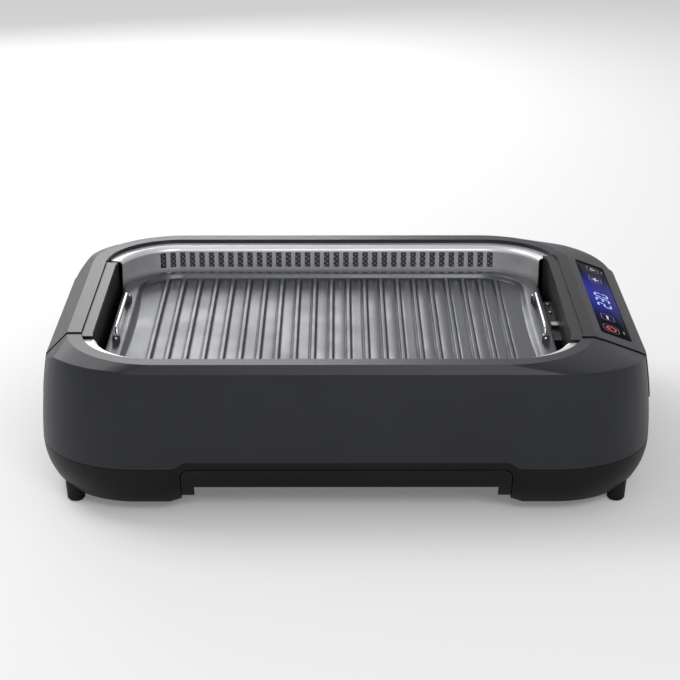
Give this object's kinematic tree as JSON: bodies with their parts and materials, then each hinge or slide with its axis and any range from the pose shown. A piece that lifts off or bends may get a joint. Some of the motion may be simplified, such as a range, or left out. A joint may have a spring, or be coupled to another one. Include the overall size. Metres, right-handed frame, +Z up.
{
  "type": "smokeless indoor grill",
  "caption": "Countertop electric grill with a ribbed lift-out plate in a slotted steel well, a suction fan, sloped touch controls and a drip tray that slides out at the front.",
  "frame": {"origin": "on the table, under the middle of the casing", "axes": "+Z up, +X towards the control panel, the tray front faces -Y"},
  "size_m": [0.52, 0.37, 0.137],
  "materials": {
    "casing_satin": "satin charcoal with a slight blue-grey cast",
    "base_matte": "matte charcoal",
    "foot_grey": "matte grey",
    "pad_rubber": "soft black rubber",
    "panel_satin": "satin charcoal",
    "smoked_glass": "smoked black glass with printed key outlines",
    "board_green": "green circuit board",
    "digits": "lit seven-segment digits",
    "contact_metal": "tinned brass",
    "trim_satin": "satin charcoal",
    "heat_black": "black heat-proof paint",
    "well_steel": "brushed stainless sheet with a bright rolled edge",
    "filter_mesh": "punched stainless filter",
    "plate_coating": "silver-grey non-stick coat on cast aluminium",
    "bail_chrome": "bright plated wire",
    "bracket_dark": "dark coated steel",
    "pan_aluminium": "pressed aluminium",
    "heater_sheath": "heat-tinted steel sheath",
    "clip_steel": "bent steel strip",
    "terminal_ceramic": "dark moulded insulator",
    "screw_steel": "plated steel",
    "cutout_steel": "plated steel can",
    "tray_plastic": "matte charcoal, heat-proof",
    "tray_front_plastic": "matte charcoal",
    "inner_plastic": "matte dark grey",
    "motor_steel": "drawn steel can",
    "shaft_steel": "ground steel",
    "wheel_plastic": "moulded dark grey",
    "duct_aluminium": "folded aluminium sheet",
    "inlet_black": "black moulded socket",
    "component_black": "moulded components",
    "connector_white": "white connectors",
    "lead_red": "red silicone sleeve",
    "lead_brown": "brown sleeve",
    "lead_grey": "grey sleeve"
  },
  "bodies": {
    "base": {"upper_casing": "casing_satin", "lower_casing": "base_matte", "feet": "foot_grey", "foot_pads": "pad_rubber", "left_side_panel": "panel_satin", "control_panel": "panel_satin", "control_glass": "smoked_glass", "display_board": "board_green", "digit_display": "digits", "touch_contacts": "contact_metal", "left_trim_strip": "trim_satin", "right_trim_strip": "trim_satin", "left_heat_wall": "heat_black", "right_heat_wall": "heat_black", "front_well_wall": "well_steel", "slotted_well_wall": "well_steel", "grease_filter": "filter_mesh", "heat_pan": "pan_aluminium", "heating_element": "heater_sheath", "heater_clips": "clip_steel", "terminal_block": "terminal_ceramic", "terminal_tabs": "contact_metal", "terminal_screws": "screw_steel", "earth_clip": "clip_steel", "thermal_cutout": "cutout_steel", "tray_rail_left": "inner_plastic", "tray_rail_right": "inner_plastic", "fan_scroll": "inner_plastic", "fan_cover": "inner_plastic", "fan_motor": "motor_steel", "intake_duct": "duct_aluminium", "mains_inlet": "inlet_black", "inlet_pins": "contact_metal", "power_board": "board_green", "board_components": "component_black", "board_connectors": "connector_white", "heater_leads": "lead_red", "mains_lead": "lead_brown", "fan_lead": "lead_grey", "casing_screws": "screw_steel"},
    "plate": {"grill_plate": "plate_coating", "left_bail_brackets": "bracket_dark", "right_bail_brackets": "bracket_dark"},
    "left_handle": {"left_bail": "bail_chrome"},
    "right_handle": {"right_bail": "bail_chrome"},
    "tray": {"drip_tray": "tray_plastic", "drip_tray_front": "tray_front_plastic"},
    "fan": {"motor_shaft": "shaft_steel", "fan_wheel": "wheel_plastic", "wheel_clip": "contact_metal"}
  },
  "joints": [
    {"name": "plate_lift", "type": "slide", "parent": "base", "child": "plate", "axis": [0, 0, 1], "range_m": [0, 0.12]},
    {"name": "left_bail_fold", "type": "hinge", "parent": "plate", "child": "left_handle", "pos_m": [-0.2007, 0, 0.1138], "axis": [0, 1, 0], "range_deg": [0, 108]},
    {"name": "right_bail_fold", "type": "hinge", "parent": "plate", "child": "right_handle", "pos_m": [0.1749, 0, 0.1138], "axis": [0, -1, 0], "range_deg": [0, 108]},
    {"name": "tray_slide", "type": "slide", "parent": "base", "child": "tray", "axis": [0, -1, 0], "range_m": [0, 0.15]},
    {"name": "fan_spin", "type": "hinge", "parent": "base", "child": "fan", "pos_m": [-0.01175, 0.108, 0.05], "axis": [0, 0, 1], "continuous": true}
  ]
}
